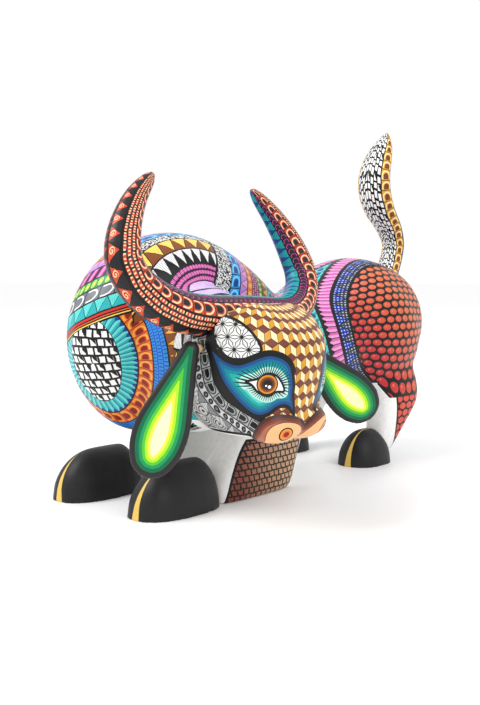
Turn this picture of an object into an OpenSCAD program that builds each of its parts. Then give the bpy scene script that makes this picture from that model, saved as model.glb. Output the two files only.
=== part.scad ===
// Carved and painted wooden bull: it bows on its forelegs with its head turned to its left.
// Horns, ears and tail are carved apart, and sit on dry dowels that pull out of the block.
// +Z is up, the bull faces -Y, its left side is +X, and the floor is at Z = 0.

/* [Trunk] */
// Height of the shoulders above the floor
shoulder_top = 149.5; // [146:0.5:152]
// Height of the rump above the floor
rump_top = 136; // [132:0.5:138]
// Half of the width at the shoulders
shoulder_half_w = 47; // [45:0.5:49]

/* [Head] */
// Distance of the head's middle plane from the axis of the front hooves
head_y = 21.5; // [20:0.5:22]
// Half of the width of the skull at the eyes
skull_half_w = 34; // [32:0.5:35]

/* [Horns] */
// Sideways reach of each horn's centreline from the head's middle plane
horn_reach = 66.5; // [64:0.5:68]
// Height of the horn tips above the floor
horn_tip_z = 174; // [170:0.5:178]

/* [Tail] */
// Height of the tip of the tail above the floor
tail_tip_z = 227; // [220:1:232]

/* [Dowels] */
// Radius of the dowels under the horns and the tail
peg_r = 2.5; // [2:0.1:3]
// Radial clearance of the dry dowels in their bores
peg_gap = 0.05; // [0.03:0.01:0.1]
// Radius of the dowels that carry the ears
ear_peg_r = 2; // [1.8:0.1:2.5]
// Radius of the glued dowels in the legs
leg_dowel_r = 4; // [3:0.25:5]

/* [Hidden] */
$fn = 48;
// The carving is drawn around the front hooves, then moved so that its box is centred on the origin.
centre_x = 31.5;
centre_y = 111.8;
big = 400;

// Trunk: [y, bottom z, top z, half width] from the chest to the buttocks
trunk_rows = [
    [-27, 84, 97, 3],
    [-24, 75, 108, 12],
    [-16, 60, 123, 21.5],
    [0, 45, 138, 32.5],
    [20, 38, shoulder_top - 3, 40.5],
    [40, 37, shoulder_top, shoulder_half_w - 1],
    [60, 37.5, shoulder_top - 3, shoulder_half_w - 1],
    [85, 39, 135, 42.5],
    [110, 41, 119, 38.5],
    [135, 44, 112, 37],
    [160, 45, 117, 39],
    [185, 45, rump_top - 7, 43],
    [210, 45, rump_top, 46],
    [232, 47, rump_top - 1.5, 45],
    [250, 54, 128, 39.5],
    [262, 66, 114, 29],
    [270, 80, 99, 12]
];
shoulder_at = [24, 68, 80];
shoulder_r = [25, 38, 42];
haunch_at = [25, 212, 84];
haunch_r = [25, 42, 40];
body_sides = 32;
body_squareness = 2.1;
trunk_slices = 48;

// Neck: [x, half width, half height] from inside the chest to inside the skull
neck_rows = [
    [0, 34, 42],
    [40, 32, 40],
    [58, 28, 34]
];
neck_slices = 4;
neck_y = 27;
neck_slant = -0.08;
neck_z = 82;
neck_seam_x = 50;

// Foreleg: [z, front y, back y, inner x, outer x]. It kneels, with the forearm along the floor.
foreleg_rows = [
    [0, 33, 103, 17, 44],
    [4, 34, 104.5, 16, 45.5],
    [18, 42, 108, 17, 46.5],
    [33, 52, 113, 18, 46.5],
    [50, 58, 112, 18, 45],
    [72, 64, 104, 20, 41]
];
// Hind leg: [z, front y, back y, inner x, outer x]
hindleg_rows = [
    [7, 194, 211, 27, 42],
    [14, 195, 217, 26, 44],
    [24, 196, 226, 25, 46],
    [36, 197, 237, 24, 48],
    [46, 197, 241, 23, 48],
    [66, 197, 236, 22, 45]
];
foreleg_seam_z = 36;
foreleg_slices = 12;
foreleg_sides = 24;
foreleg_squareness = 3.2;
hindleg_seam_z = 43;
hindleg_slices = 12;
hindleg_sides = 20;
hindleg_squareness = 2.8;

// Hoof: [middle x, toe y, heel y, half width, height]. The toe is round and low, and the heel is steep.
front_hoof = [31, -16.5, 38, 17, 27];
rear_hoof = [34, 168, 206, 15, 23];
// How far the toe and the heel lean in towards the top
front_hoof_lean = [26, 12];
rear_hoof_lean = [18, 15];
// The heel of a front hoof runs this far back before it is cut square
hoof_lap = 2;
hoof_sides = 28;
hoof_rings = 9;
// The first ring over the sole is turned up this much, and the others by equal steps
hoof_first_turn = 16.6;
hoof_turn_step = 8.6;
toe_squareness = 2.3;
heel_squareness = 2.7;

// Head: [z, back x, front x, half width] from the jaw to the poll
head_rows = [
    [46, 62, 100, 12],
    [49, 56, 105, 20.5],
    [54, 50, 108, 24.5],
    [60, 47, 109.5, 29.5],
    [66, 46, 110.5, 32.5],
    [74, 46, 112, 34.6],
    [84, 46, 113, skull_half_w],
    [93, 47, 112, skull_half_w],
    [101, 50, 107.5, 33.5],
    [107, 53, 101, 31.5],
    [111, 57, 95, 25],
    [113, 64, 90, 16]
];
muzzle_pad_at = [98.5, 9.5, 54];
muzzle_pad_r = [14, 16, 9.5];
muzzle_turn = 1.5;
muzzle_sides = 24;
head_sides = 36;
head_slices = 22;
head_squareness = 2.5;

// Horns: [sideways, x, z, half width, half height], from the middle of the band to a tip
horn_rows = [
    [0, 73, 106.5, 13, 9.5],
    [14, 73, 106, 13, 9.8],
    [28, 72, 105.5, 12.6, 10.2],
    [41.5, 69, 107, 11.9, 10.4],
    [54, 65, 112, 11.1, 10.5],
    [63, 61, 120, 10.6, 10.3],
    [horn_reach, 57, 130, 10.2, 9.9],
    [horn_reach - 2.8, 53.5, 141, 9.3, 9.1],
    [horn_reach - 8, 50.5, 151, 8, 7.8],
    [horn_reach - 15.5, 47.5, 161, 6.3, 6.2],
    [horn_reach - 25, 45, horn_tip_z - 4, 4, 4],
    [horn_reach - 29.5, 44, horn_tip_z, 1.5, 1.5]
];
horn_y = 20;
horn_roll = -2.7;
horn_roll_z = 106;
horn_sides = 16;
horn_squareness = 1.65;
horn_step = 0.5;
// The middle rows of the horns lie in a seat cut into the head
horn_seat_row = 3;
horn_dowel_side = 13;
horn_dowel_x = 73;
horn_dowel_z = [88, 108];

// Ears: where each root and each tip lies; the leaf faces mostly forwards
ear_root_r = [73, -17.8, 91];
ear_tip_r = [65.3, -41.3, 31];
ear_root_l = [79, 61, 87];
ear_tip_l = [92.5, 108, 46.5];
ear_faces = [0.66, -0.75, 0];
ear_length = 64;
ear_half_w = 13.2;
ear_half_t = 2.6;
// Leaf: [distance below the root, half width, half thickness]
ear_rows = [
    [-3.6, 2, 2],
    [-2, 3.8, 3.4],
    [1, 4.6, 4],
    [8, 6.1, 3.4],
    [22, 9.6, ear_half_t],
    [38, ear_half_w, ear_half_t],
    [50, ear_half_w - 0.3, ear_half_t],
    [59, 9.4, 2.2],
    [62.4, 6, 1.7],
    [ear_length, 2.6, 1.2]
];
ear_slices = 40;
ear_sides = 16;
ear_squareness = 2.2;
// The edges of the leaf curl forwards by this share of the squared half width, below ear_cup_from
ear_cup = 0.012;
ear_cup_from = 20;
ear_peg_h = 16;
ear_peg_in_ear = 2;

// Tail: [y, z, half width, half depth]
tail_rows = [
    [262.5, 121, 9.4, 7],
    [269, 133, 9.4, 6.6],
    [273, 146, 9.2, 6.4],
    [267, 158, 10.8, 7],
    [255, 170, 12.6, 8],
    [248, 182, 13.3, 8.6],
    [247, 195, 13, 8.4],
    [252, 208, 11.2, 7],
    [258, tail_tip_z - 9, 7.5, 5],
    [263, tail_tip_z, 1.2, 1.2]
];
tail_sides = 14;
tail_squareness = 1.7;
tail_step = 0.3;
tail_root = [0, 262.5, 121];
tail_lean = -23;
tail_seat_r = 10.5;
tail_peg_in = 15;
tail_peg_out = 14;
// The small gap under a piece that pulls off
seat_gap = 0.4;
// A seat is cut clear of the block for this much above the piece
seat_clear = 30;

neck_dowel_r = 7;
neck_dowel_x = [30, 84];

// Leg dowels stand upright, at these low ends
foreleg_dowel_at = [32, 82, 20];
foreleg_dowel_h = 36;
hindleg_dowel_at = [36, 216, 29];
hindleg_dowel_h = 32;
// Hoof dowels: the front ones lie along the forearm, and the rear ones stand up
front_hoof_dowel_at = [31, 24, 9];
front_hoof_dowel_r = 3;
front_hoof_dowel_h = 28;
rear_hoof_dowel_at = [34.5, 203, 3.5];
rear_hoof_dowel_r = 2.5;
rear_hoof_dowel_h = 14;

// Equal steps from a to b
function stations(a, b, count) = [for (i = [0 : count]) a + (b - a) * i / count];
function first_of(tab) = tab[0][0];
function last_of(tab) = tab[len(tab) - 1][0];

// A smooth value at t from a table whose rows start with t
function slope(tab, i) = let (a = max(i - 1, 0), b = min(i + 1, len(tab) - 1))
    (tab[b] - tab[a]) / (tab[b][0] - tab[a][0]);
function span_of(tab, t, i = 0) = (i >= len(tab) - 2 || t < tab[i + 1][0]) ? i : span_of(tab, t, i + 1);
function smooth_row(tab, t) =
    let (i = span_of(tab, t), w = tab[i + 1][0] - tab[i][0], u = (t - tab[i][0]) / w)
    tab[i] * (2 * u ^ 3 - 3 * u ^ 2 + 1) + slope(tab, i) * w * (u ^ 3 - 2 * u ^ 2 + u)
    + tab[i + 1] * (3 * u ^ 2 - 2 * u ^ 3) + slope(tab, i + 1) * w * (u ^ 3 - u ^ 2);
// The same rows counted by their place in the table, for paths that turn back
function counted(tab) = [for (i = [0 : len(tab) - 1]) concat([i], tab[i])];

// One point of a rounded outline: e = 2 is an ellipse, and more is squarer
function power(v, e) = sign(v) * pow(abs(v), e);
function round_point(a, rx, ry, e) = [rx * power(cos(a), 2 / e), ry * power(sin(a), 2 / e)];

// A closed skin over rings that all have the same number of points
module skin(rings) {
    n = len(rings[0]);
    m = len(rings);
    side = [for (i = [0 : m - 2], j = [0 : n - 1]) let (k = (j + 1) % n)
        each [[i * n + j, i * n + k, (i + 1) * n + k], [i * n + j, (i + 1) * n + k, (i + 1) * n + j]]];
    first = [[for (j = [n - 1 : -1 : 0]) j]];
    last = [[for (j = [0 : n - 1]) (m - 1) * n + j]];
    polyhedron(points = [for (r = rings) each r], faces = concat(side, first, last), convexity = 6);
}

// A skin over level outlines: rows are [z, front, back, inner, outer]
module level_loft(rows, slices, e, n) {
    skin([for (z = stations(first_of(rows), last_of(rows), slices)) let (r = smooth_row(rows, z))
        [for (j = [0 : n - 1]) let (p = round_point(-j * 360 / n, (r[4] - r[3]) / 2, (r[2] - r[1]) / 2, e))
            [(r[3] + r[4]) / 2 + p[0], (r[1] + r[2]) / 2 + p[1], z]]]);
}

// An egg with middle at and half sizes r, drawn with n sides
module egg(at, r, n = 28) {
    m = n / 2;
    translate(at) skin([for (i = [1 : m - 1]) let (b = -90 + i * 180 / m)
        [for (j = [0 : n - 1]) let (a = -j * 360 / n)
            [r[0] * cos(b) * cos(a), r[1] * cos(b) * sin(a), r[2] * sin(b)]]]);
}

module both_sides() {
    children();
    mirror([1, 0, 0]) children();
}

// Joins its children into one carved surface
module carved() {
    resize([0, 0, 0]) union() children();
}

module place() {
    translate([-centre_x, -centre_y, 0]) children();
}

module trunk_barrel() {
    n = body_sides;
    skin([for (y = stations(first_of(trunk_rows), last_of(trunk_rows), trunk_slices))
        let (r = smooth_row(trunk_rows, y))
        [for (j = [0 : n - 1]) let (p = round_point(j * 360 / n, r[3], (r[2] - r[1]) / 2, body_squareness))
            [p[0], y, (r[1] + r[2]) / 2 + p[1]]]]);
}

module foreleg() {
    level_loft(foreleg_rows, foreleg_slices, foreleg_squareness, foreleg_sides);
}

module hindleg() {
    level_loft(hindleg_rows, hindleg_slices, hindleg_squareness, hindleg_sides);
}

module neck() {
    n = body_sides;
    skin([for (x = stations(first_of(neck_rows), last_of(neck_rows), neck_slices))
        let (r = smooth_row(neck_rows, x))
        [for (j = [0 : n - 1]) let (p = round_point(-j * 360 / n, r[1], r[2], body_squareness))
            [x, neck_y + neck_slant * x + p[0], neck_z + p[1]]]]);
}

module whole_trunk() {
    trunk_barrel();
    both_sides() {
        egg(shoulder_at, shoulder_r);
        egg(haunch_at, haunch_r);
        intersection() {
            foreleg();
            translate([-big / 2, -big / 2, foreleg_seam_z]) cube(big);
        }
        intersection() {
            hindleg();
            translate([-big / 2, 0, hindleg_seam_z]) cube(big);
        }
    }
    intersection() {
        neck();
        translate([0, -big / 2, 0]) cube([neck_seam_x, big, big]);
    }
}

module trunk() {
    color("teal") place() difference() {
        carved() whole_trunk();
        leg_dowel_set();
        neck_dowel_rod();
        tail_bore(peg_r + peg_gap, seat_gap);
        tail_seat();
    }
}

module foreleg_piece() {
    difference() {
        carved() intersection() {
            foreleg();
            translate([-big / 2, front_hoof[2], -big + foreleg_seam_z]) cube(big);
        }
        leg_dowel_set();
        hoof_dowel_set();
    }
}

module hindleg_piece() {
    difference() {
        carved() intersection() {
            hindleg();
            translate([-big / 2, 0, -big + hindleg_seam_z]) cube(big);
        }
        leg_dowel_set();
        hoof_dowel_set();
    }
}

module front_left_leg() {
    color("saddlebrown") place() foreleg_piece();
}

module front_right_leg() {
    color("saddlebrown") place() mirror([1, 0, 0]) foreleg_piece();
}

module rear_left_leg() {
    color("firebrick") place() hindleg_piece();
}

module rear_right_leg() {
    color("firebrick") place() mirror([1, 0, 0]) hindleg_piece();
}

// A hoof's dome: h is [middle x, toe y, heel y, half width, height]
module hoof_dome(h, lean) {
    n = hoof_sides;
    skin([for (i = [0 : hoof_rings])
        let (b = i == 0 ? 0 : hoof_first_turn + (i - 1) * hoof_turn_step, c = 1 - cos(b))
        [for (j = [0 : n - 1]) let (
            toe = h[1] + lean[0] * c, heel = h[2] - lean[1] * c,
            e = j > n / 2 ? heel_squareness : toe_squareness,
            p = round_point(-j * 360 / n, h[3] * cos(b), (heel - toe) / 2, e))
            [h[0] + p[0], (toe + heel) / 2 + p[1], h[4] * sin(b)]]]);
}

module front_hoof_piece() {
    difference() {
        carved() intersection() {
            hoof_dome(front_hoof + [0, 0, hoof_lap, 0, 0], front_hoof_lean);
            translate([-big / 2, front_hoof[2] - big, 0]) cube(big);
        }
        hoof_dowel_set();
    }
}

module rear_hoof_piece() {
    difference() {
        carved() difference() {
            hoof_dome(rear_hoof, rear_hoof_lean);
            hindleg();
        }
        hoof_dowel_set();
    }
}

module front_left_hoof() {
    color("dimgray") place() front_hoof_piece();
}

module front_right_hoof() {
    color("dimgray") place() mirror([1, 0, 0]) front_hoof_piece();
}

module rear_left_hoof() {
    color("dimgray") place() rear_hoof_piece();
}

module rear_right_hoof() {
    color("dimgray") place() mirror([1, 0, 0]) rear_hoof_piece();
}

// Glued dowels up through each leg into the trunk
module leg_dowel_pair() {
    translate(foreleg_dowel_at) cylinder(r = leg_dowel_r, h = foreleg_dowel_h);
    translate(hindleg_dowel_at) cylinder(r = leg_dowel_r, h = hindleg_dowel_h);
}

module leg_dowel_set() {
    both_sides() leg_dowel_pair();
}

module leg_dowels() {
    color("burlywood") place() leg_dowel_set();
}

// Thin dowels that hold each hoof on its leg
module hoof_dowel_pair() {
    translate(front_hoof_dowel_at) rotate([-90, 0, 0])
        cylinder(r = front_hoof_dowel_r, h = front_hoof_dowel_h);
    translate(rear_hoof_dowel_at) cylinder(r = rear_hoof_dowel_r, h = rear_hoof_dowel_h);
}

module hoof_dowel_set() {
    both_sides() hoof_dowel_pair();
}

module hoof_dowels() {
    color("burlywood") place() hoof_dowel_set();
}

module neck_dowel_rod() {
    translate([neck_dowel_x[0], head_y, neck_z]) rotate([0, 90, 0])
        cylinder(r = neck_dowel_r, h = neck_dowel_x[1] - neck_dowel_x[0]);
}

module neck_dowel() {
    color("burlywood") place() neck_dowel_rod();
}

module skull() {
    n = head_sides;
    skin([for (z = stations(first_of(head_rows), last_of(head_rows) - 1, head_slices))
        let (r = smooth_row(head_rows, z))
        [for (j = [0 : n - 1]) let (p = round_point(-j * 360 / n, (r[2] - r[1]) / 2, r[3], head_squareness))
            [(r[1] + r[2]) / 2 + p[0], head_y + p[1], z]]]);
    for (s = [-1, 1])
        translate([0, head_y + muzzle_turn + s * muzzle_pad_at[1], 0])
            egg([muzzle_pad_at[0], 0, muzzle_pad_at[2]], muzzle_pad_r, muzzle_sides);
}

module head() {
    color("goldenrod") place() difference() {
        carved() difference() {
            union() {
                skull();
                neck();
            }
            translate([neck_seam_x - big, -big / 2, 0]) cube(big);
            hull() {
                horn_skin(horn_seat_row, seat_gap);
                translate([0, 0, seat_clear]) horn_skin(horn_seat_row, seat_gap);
            }
        }
        neck_dowel_rod();
        horn_dowel_set(peg_r + peg_gap, seat_gap);
        ear_bore(ear_root_r, -1, ear_peg_r + peg_gap, seat_gap);
        ear_bore(ear_root_l, 1, ear_peg_r + peg_gap, seat_gap);
    }
}

// One ring of the horns, square to the line from tip to tip
function horn_ring(r, lean, extra, n = horn_sides) =
    [for (j = [0 : n - 1]) let (p = round_point(-j * 360 / n, r[3] + extra, r[4] + extra, horn_squareness))
        [r[1] + p[0], r[0] - sin(lean) * p[1], r[2] + cos(lean) * p[1]]];
function horn_at(t) = smooth_row(counted(horn_rows), t);
function horn_lean(t) = let (a = horn_at(max(t - 0.05, 0)), b = horn_at(min(t + 0.05, len(horn_rows) - 1)))
    atan2(b[3] - a[3], b[1] - a[1]);
function row_of(t) = let (r = horn_at(t)) [r[1], r[2], r[3], r[4], r[5]];
function flipped(ring) = [for (p = ring) [p[0], -p[1], p[2]]];

// The crescent out to the last row on each side, grown by extra
module horn_skin(last, extra = 0) {
    half = [for (t = [0 : horn_step : last]) horn_ring(row_of(t), t == 0 ? 0 : horn_lean(t), extra)];
    rings = concat([for (i = [len(half) - 1 : -1 : 1]) flipped(half[i])], half);
    translate([0, horn_y, horn_roll_z]) rotate([horn_roll, 0, 0]) translate([0, 0, -horn_roll_z])
        skin([for (r = rings) [for (j = [len(r) - 1 : -1 : 0]) r[j]]]);
}

module horns() {
    color("orangered") place() difference() {
        horn_skin(len(horn_rows) - 1);
        horn_dowel_set(peg_r);
    }
}

module horn_dowel_set(r, deeper = 0) {
    for (s = [-1, 1])
        translate([horn_dowel_x, horn_y + s * horn_dowel_side, horn_dowel_z[0] - deeper])
            cylinder(r = r, h = horn_dowel_z[1] - horn_dowel_z[0] + deeper);
}

module horn_dowels() {
    color("burlywood") place() horn_dowel_set(peg_r);
}

// An ear is a leaf that hangs from its root along -Z, with its cupped face to -Y
module ear_leaf() {
    n = ear_sides;
    skin([for (t = stations(first_of(ear_rows), last_of(ear_rows), ear_slices))
        let (r = smooth_row(ear_rows, t))
        [for (j = [0 : n - 1]) let (
            p = round_point(j * 360 / n, r[1], r[2], ear_squareness),
            curl = ear_cup * p[0] * p[0] * min(1, max(0, t / ear_cup_from)))
            [p[0], p[1] - curl, -t]]]);
}

function unit(v) = v / norm(v);

// Hangs its children from a root towards a tip
module hang(root, tip) {
    up = unit(root - tip);
    across = unit(cross(up, ear_faces));
    front = cross(across, up);
    multmatrix([
        [across[0], -front[0], up[0], root[0]],
        [across[1], -front[1], up[1], root[1]],
        [across[2], -front[2], up[2], root[2]],
        [0, 0, 0, 1]
    ]) children();
}

// The dowel of an ear runs straight out of the side of the head
module ear_bore(root, side, r, deeper = 0) {
    low = side < 0 ? -ear_peg_in_ear : -ear_peg_h + ear_peg_in_ear - deeper;
    translate([root[0], root[1] + low, root[2]]) rotate([-90, 0, 0]) cylinder(r = r, h = ear_peg_h + deeper);
}

module right_ear() {
    color("limegreen") place() difference() {
        hang(ear_root_r, ear_tip_r) ear_leaf();
        ear_bore(ear_root_r, -1, ear_peg_r + peg_gap);
    }
}

module left_ear() {
    color("limegreen") place() difference() {
        hang(ear_root_l, ear_tip_l) ear_leaf();
        ear_bore(ear_root_l, 1, ear_peg_r + peg_gap);
    }
}

module right_ear_peg() {
    color("burlywood") place() ear_bore(ear_root_r, -1, ear_peg_r);
}

module left_ear_peg() {
    color("burlywood") place() ear_bore(ear_root_l, 1, ear_peg_r);
}

module tail_bore(r, deeper = 0) {
    translate(tail_root) rotate([tail_lean, 0, 0]) translate([0, 0, -tail_peg_in - deeper])
        cylinder(r = r, h = tail_peg_in + tail_peg_out + deeper);
}

// The flat that the root of the tail stands on
module tail_seat() {
    translate(tail_root) rotate([tail_lean, 0, 0]) translate([0, 0, -seat_gap])
        cylinder(r = tail_seat_r, h = seat_clear);
}

function tail_at(t) = smooth_row(counted(tail_rows), t);
function tail_tilt(t) = let (a = tail_at(max(t - 0.05, 0)), b = tail_at(min(t + 0.05, len(tail_rows) - 1)))
    atan2(b[1] - a[1], b[2] - a[2]);

module tail_form() {
    n = tail_sides;
    skin([for (t = [0 : tail_step : len(tail_rows) - 1])
        let (r = tail_at(t), b = t == 0 ? -tail_lean : tail_tilt(t))
        [for (j = [0 : n - 1]) let (p = round_point(-j * 360 / n, r[3], r[4], tail_squareness))
            [p[0], r[1] + cos(b) * p[1], r[2] - sin(b) * p[1]]]]);
}

module tail() {
    color("gold") place() difference() {
        tail_form();
        tail_bore(peg_r + peg_gap);
    }
}

module tail_peg() {
    color("burlywood") place() tail_bore(peg_r);
}

trunk();
head();
neck_dowel();
horns();
horn_dowels();
right_ear();
right_ear_peg();
left_ear();
left_ear_peg();
tail();
tail_peg();
front_right_leg();
front_left_leg();
rear_right_leg();
rear_left_leg();
leg_dowels();
front_right_hoof();
front_left_hoof();
rear_right_hoof();
rear_left_hoof();
hoof_dowels();
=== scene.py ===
import math

import bmesh
import bpy
import numpy as np
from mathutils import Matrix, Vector


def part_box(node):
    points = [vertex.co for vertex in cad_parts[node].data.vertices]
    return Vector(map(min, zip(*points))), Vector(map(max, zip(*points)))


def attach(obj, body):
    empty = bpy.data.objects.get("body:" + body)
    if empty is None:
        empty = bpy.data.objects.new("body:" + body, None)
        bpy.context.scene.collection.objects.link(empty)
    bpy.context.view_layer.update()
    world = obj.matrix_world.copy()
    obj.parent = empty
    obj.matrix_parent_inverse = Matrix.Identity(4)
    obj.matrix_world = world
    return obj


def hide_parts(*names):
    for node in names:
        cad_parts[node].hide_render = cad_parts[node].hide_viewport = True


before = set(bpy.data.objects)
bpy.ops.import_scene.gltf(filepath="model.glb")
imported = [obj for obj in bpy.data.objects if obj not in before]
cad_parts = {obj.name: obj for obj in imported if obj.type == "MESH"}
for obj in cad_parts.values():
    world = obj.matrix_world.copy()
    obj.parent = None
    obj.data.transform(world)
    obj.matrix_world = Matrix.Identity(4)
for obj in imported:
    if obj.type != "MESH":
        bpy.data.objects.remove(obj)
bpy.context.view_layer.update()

# ---------------------------------------------------------------------------------------------
# The block: trunk, head and legs are one carved form in copal wood, sanded smooth after the
# parts are doweled and glued. It is sanded here as one, and cut again at the glued seams.
# ---------------------------------------------------------------------------------------------
mm = 0.001
toe_reach = 16.5
left_toe, left_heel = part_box("front_left_hoof")
right_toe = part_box("front_right_hoof")[0]
bull_zero = Vector(((left_heel.x + right_toe.x) / 2, left_toe.y + toe_reach * mm, 0))
# the glued seams, in millimetres from the zero: the neck's along x, the legs' in height
neck_seam = 50
foreleg_seam = 36
hindleg_seam = 43


def block_copy(names, grain):
    """Merged copies of carved nodes, skinned again in small even faces."""
    block = bmesh.new()
    for name in names:
        block.from_mesh(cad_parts[name].data)
    bmesh.ops.remove_doubles(block, verts=block.verts, dist=0.00002)
    mesh = bpy.data.meshes.new("rough")
    block.to_mesh(mesh)
    block.free()
    rough = bpy.data.objects.new("rough", mesh)
    bpy.context.scene.collection.objects.link(rough)
    skin = rough.modifiers.new("skin", "REMESH")
    skin.mode = "VOXEL"
    skin.voxel_size = grain * mm
    bpy.context.view_layer.update()
    even = bpy.data.meshes.new_from_object(rough.evaluated_get(bpy.context.evaluated_depsgraph_get()))
    block = bmesh.new()
    block.from_mesh(even)
    bpy.data.objects.remove(rough)
    bpy.data.meshes.remove(mesh)
    bpy.data.meshes.remove(even)
    return block


def sand(block, passes, reach=None):
    """Rubs the facets of the rough carving down."""
    verts = [v for v in block.verts if reach is None or reach(v.co)]
    for _ in range(passes):
        bmesh.ops.smooth_vert(block, verts=verts, factor=0.5, use_axis_x=True, use_axis_y=True, use_axis_z=True)


def finished(block, name, body, node):
    """A carved piece in its place, standing for its node."""
    bmesh.ops.recalc_face_normals(block, faces=block.faces)
    mesh = bpy.data.meshes.new(name)
    block.to_mesh(mesh)
    block.free()
    mesh.shade_smooth()
    piece = bpy.data.objects.new(name, mesh)
    bpy.context.scene.collection.objects.link(piece)
    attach(piece, body)
    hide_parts(node)
    return piece


def cut(block, near, point, normal, keep_above):
    """Saws the faces that near() picks along a plane, and drops one side."""
    faces = [f for f in block.faces if near(f.calc_center_median())]
    edges = {e for f in faces for e in f.edges}
    verts = {v for f in faces for v in f.verts}
    bmesh.ops.bisect_plane(block, geom=faces + list(edges) + list(verts), dist=0.000001, plane_co=point,
                           plane_no=normal, clear_inner=keep_above, clear_outer=not keep_above)


def drop(block, unwanted):
    """Takes away the faces that unwanted() picks."""
    faces = [f for f in block.faces if unwanted(f.calc_center_median())]
    bmesh.ops.delete(block, geom=faces, context="FACES")


def cap(block):
    """Closes the glued faces."""
    bmesh.ops.holes_fill(block, edges=[e for e in block.edges if e.is_boundary], sides=0)


carved_as_one = ["trunk", "head", "front_left_leg", "front_right_leg", "rear_left_leg", "rear_right_leg"]
block_grain = 1.15
zero_x, zero_y = bull_zero.x, bull_zero.y
seam_x = zero_x + neck_seam * mm
head_end_y = zero_y + 100 * mm
waist_y = zero_y + 150 * mm
above_legs = (foreleg_seam + 4) * mm
whole = block_copy(carved_as_one, block_grain)
sand(whole, 7)
sand(whole, 12, lambda p: p.x < seam_x and p.z > above_legs)
seam_point = Vector((seam_x, 0, 0))
front_point = Vector((0, 0, foreleg_seam * mm))
rear_point = Vector((0, 0, hindleg_seam * mm))
up = Vector((0, 0, 1))


def is_head(p):
    return p.x > seam_x and p.y < head_end_y


trunk_block = whole.copy()
cut(trunk_block, lambda p: p.y < waist_y, front_point, up, True)
cut(trunk_block, lambda p: p.y > waist_y, rear_point, up, True)
cut(trunk_block, lambda p: p.y < head_end_y, seam_point, Vector((1, 0, 0)), False)
cap(trunk_block)
trunk = finished(trunk_block, "painted_trunk", "block", "trunk")

head_block = whole.copy()
cut(head_block, lambda p: True, seam_point, Vector((1, 0, 0)), True)
drop(head_block, lambda p: not is_head(p))
cap(head_block)
bmesh.ops.subdivide_edges(head_block, edges=head_block.edges, cuts=1, use_grid_fill=True)
sand(head_block, 1)
head = finished(head_block, "painted_head", "block", "head")

legs = {}
for name, sign, front in (("front_left", 1, True), ("front_right", -1, True), ("rear_left", 1, False),
                          ("rear_right", -1, False)):
    leg_block = whole.copy()
    point = front_point if front else rear_point
    cut(leg_block, lambda p: True, point, up, False)
    drop(leg_block, lambda p: (p.x - zero_x) * sign < 0 or (p.y < waist_y) != front or is_head(p))
    cap(leg_block)
    legs[name] = finished(leg_block, "painted_" + name + "_leg", "block", name + "_leg")
whole.free()


def bull_points(piece):
    """The vertices of a piece in millimetres from the middle of the front hooves."""
    points = np.zeros(len(piece.data.vertices) * 3)
    piece.data.vertices.foreach_get("co", points)
    return (points.reshape(-1, 3) - np.array(bull_zero)) / mm


def mark(piece, name, *columns):
    """Keeps up to three numbers a vertex, for the paint to follow."""
    values = np.zeros((len(piece.data.vertices), 3), np.float32)
    for k, column in enumerate(columns):
        values[:, k] = column
    layer = piece.data.attributes.new(name, "FLOAT_VECTOR", "POINT")
    layer.data.foreach_set("vector", values.ravel())


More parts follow.
